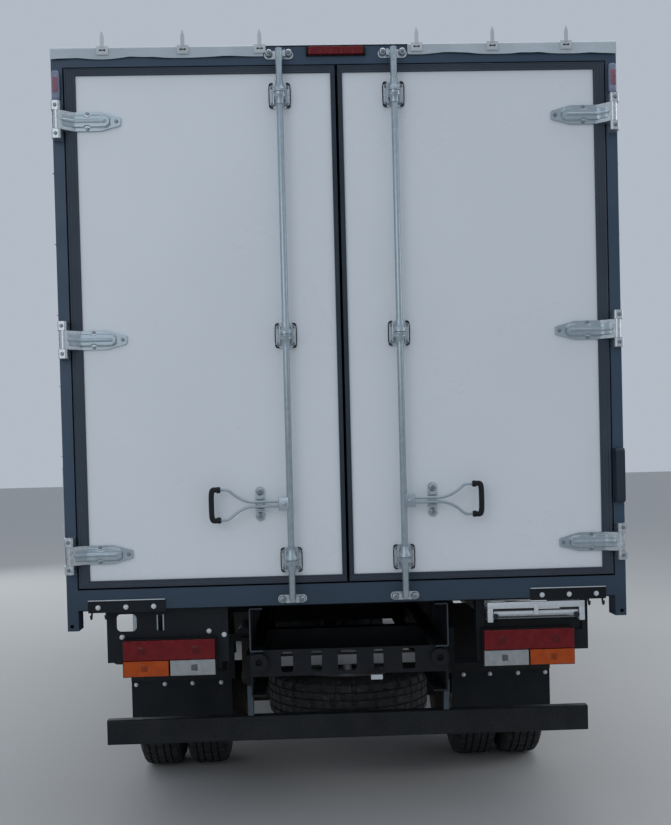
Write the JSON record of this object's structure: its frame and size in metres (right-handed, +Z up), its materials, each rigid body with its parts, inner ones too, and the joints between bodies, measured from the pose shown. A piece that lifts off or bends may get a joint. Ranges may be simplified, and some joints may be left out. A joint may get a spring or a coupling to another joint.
{
  "type": "tarpaulin-covered box truck with insulated rear doors",
  "caption": "Medium cab-over truck with a tarpaulin-sided box body, white insulated rear doors with lock bars, twin rear wheels and an underrun bar.",
  "frame": {"origin": "on the ground under the middle of the whole truck", "axes": "+X to the right seen from behind, +Y forwards to the cab, +Z up"},
  "size_m": [2.8448, 7.577, 3.668],
  "materials": {
    "chassis_steel": "satin black chassis paint with road dust",
    "subframe_steel": "dark grey paint, dusty",
    "axle_iron": "dirty cast iron",
    "engine_iron": "dull grey",
    "tank_aluminium": "brushed, dulled",
    "box_plastic": "grained black",
    "exhaust_steel": "heat stained",
    "guard_aluminium": "dull mill finish",
    "flap_rubber": "bare black rubber",
    "bumper_plastic": "dark grey grained",
    "lamp_glass": "clear lens",
    "tyre": "worn, dusty",
    "rim_steel": "silver paint, dusty",
    "floor_wood": "film-faced plywood",
    "wall_panel": "white panel",
    "board_aluminium": "anodised planks",
    "frame_steel": "galvanised posts and laths",
    "tarpaulin": "grey coated tarpaulin",
    "portal_paint": "slate blue-grey paint",
    "galvanised_steel": "zinc plated, dulled",
    "lamp_plastic": "ribbed lenses in red, orange and white",
    "cab_paint": "white gloss",
    "trim_plastic": "grained dark grey",
    "window_glass": "clear",
    "seat_fabric": "woven dark grey",
    "door_panel": "white sandwich panel skin",
    "door_rubber": "ribbed black seal"
  },
  "bodies": {
    "root": {"chassis_frame": "chassis_steel", "body_subframe": "subframe_steel", "front_axle": "axle_iron", "rear_axle": "axle_iron", "engine_block": "engine_iron", "fuel_tank": "tank_aluminium", "battery_box": "box_plastic", "silencer": "exhaust_steel", "side_guards": "guard_aluminium", "underrun_bar": "chassis_steel", "mudguards": "box_plastic", "mudflaps": "flap_rubber", "front_bumper": "bumper_plastic", "headlamps": "lamp_glass", "tow_sockets": "axle_iron", "spare_tyre": "tyre", "spare_wheel": "rim_steel", "floor_deck": "floor_wood", "front_wall": "wall_panel", "side_boards": "board_aluminium", "tilt_frame": "frame_steel", "tilt_sides": "tarpaulin", "tilt_roof": "tarpaulin", "rear_portal": "portal_paint", "portal_fittings": "galvanised_steel", "grab_handle": "box_plastic", "rear_lamps": "lamp_plastic", "lamp_brackets": "chassis_steel", "boarding_ladder": "galvanised_steel"},
    "rear_door_left": {"rear_door_left": "door_panel", "door_seal_left": "door_rubber", "door_hardware_left": "galvanised_steel"},
    "lock_bar_left": {"lock_bar_left": "galvanised_steel"},
    "knuckle_left": {"knuckle_left": "axle_iron"},
    "front_wheel_left": {"front_rim_left": "rim_steel", "front_tyre_left": "tyre"},
    "rear_wheels_left": {"rear_rims_left": "rim_steel", "rear_tyres_left": "tyre"},
    "cab_door_left": {"cab_door_left": "cab_paint", "door_glass_left": "window_glass"},
    "rear_door_right": {"rear_door_right": "door_panel", "door_seal_right": "door_rubber", "door_hardware_right": "galvanised_steel"},
    "lock_bar_right": {"lock_bar_right": "galvanised_steel"},
    "knuckle_right": {"knuckle_right": "axle_iron"},
    "front_wheel_right": {"front_rim_right": "rim_steel", "front_tyre_right": "tyre"},
    "rear_wheels_right": {"rear_rims_right": "rim_steel", "rear_tyres_right": "tyre"},
    "cab_door_right": {"cab_door_right": "cab_paint", "door_glass_right": "window_glass"},
    "tie_rod": {"tie_rod": "axle_iron"},
    "cab": {"cab_shell": "cab_paint", "engine_cover": "trim_plastic", "cab_grille": "bumper_plastic", "cab_glass": "window_glass", "mirrors": "box_plastic", "seats": "seat_fabric", "dashboard": "trim_plastic"}
  },
  "joints": [
    {"name": "steer_left", "type": "hinge", "parent": "root", "child": "knuckle_left", "pos_m": [-0.8, 2.543, 0.419], "axis": [0, 0, 1], "range_deg": [-35, 35]},
    {"name": "front_wheel_left", "type": "hinge", "parent": "knuckle_left", "child": "front_wheel_left", "pos_m": [-0.95, 2.543, 0.419], "axis": [1, 0, 0], "continuous": true},
    {"name": "rear_wheels_left", "type": "hinge", "parent": "root", "child": "rear_wheels_left", "pos_m": [-0.915, -2.057, 0.419], "axis": [1, 0, 0], "continuous": true},
    {"name": "rear_door_left", "type": "hinge", "parent": "root", "child": "rear_door_left", "pos_m": [-1.245, -3.752, 2.4], "axis": [0, 0, -1], "range_deg": [0, 250]},
    {"name": "lock_bar_left", "type": "hinge", "parent": "rear_door_left", "child": "lock_bar_left", "pos_m": [-0.256, -3.762, 2.4], "axis": [0, 0, -1], "range_deg": [-110, 0]},
    {"name": "cab_door_left", "type": "hinge", "parent": "cab", "child": "cab_door_left", "pos_m": [-1.14, 3.369, 1.6], "axis": [0, 0, -1], "range_deg": [0, 70]},
    {"name": "steer_right", "type": "hinge", "parent": "root", "child": "knuckle_right", "pos_m": [0.8, 2.543, 0.419], "axis": [0, 0, 1], "range_deg": [-35, 35]},
    {"name": "front_wheel_right", "type": "hinge", "parent": "knuckle_right", "child": "front_wheel_right", "pos_m": [0.95, 2.543, 0.419], "axis": [1, 0, 0], "continuous": true},
    {"name": "rear_wheels_right", "type": "hinge", "parent": "root", "child": "rear_wheels_right", "pos_m": [0.915, -2.057, 0.419], "axis": [1, 0, 0], "continuous": true},
    {"name": "rear_door_right", "type": "hinge", "parent": "root", "child": "rear_door_right", "pos_m": [1.245, -3.752, 2.4], "axis": [0, 0, 1], "range_deg": [0, 250]},
    {"name": "lock_bar_right", "type": "hinge", "parent": "rear_door_right", "child": "lock_bar_right", "pos_m": [0.256, -3.762, 2.4], "axis": [0, 0, 1], "range_deg": [-110, 0]},
    {"name": "cab_door_right", "type": "hinge", "parent": "cab", "child": "cab_door_right", "pos_m": [1.14, 3.369, 1.6], "axis": [0, 0, 1], "range_deg": [0, 70]},
    {"name": "cab_tilt", "type": "hinge", "parent": "root", "child": "cab", "pos_m": [0, 3.493, 0.95], "axis": [-1, 0, 0], "range_deg": [0, 45]},
    {"name": "tie_rod_swing", "type": "hinge", "parent": "knuckle_left", "child": "tie_rod", "pos_m": [-0.8, 2.353, 0.284], "axis": [0, 0, 1], "range_deg": [-35, 35]}
  ],
  "couplings": [
    {"joint": "steer_right", "follows": "steer_left", "ratio": 1},
    {"joint": "tie_rod_swing", "follows": "steer_left", "ratio": -1}
  ]
}
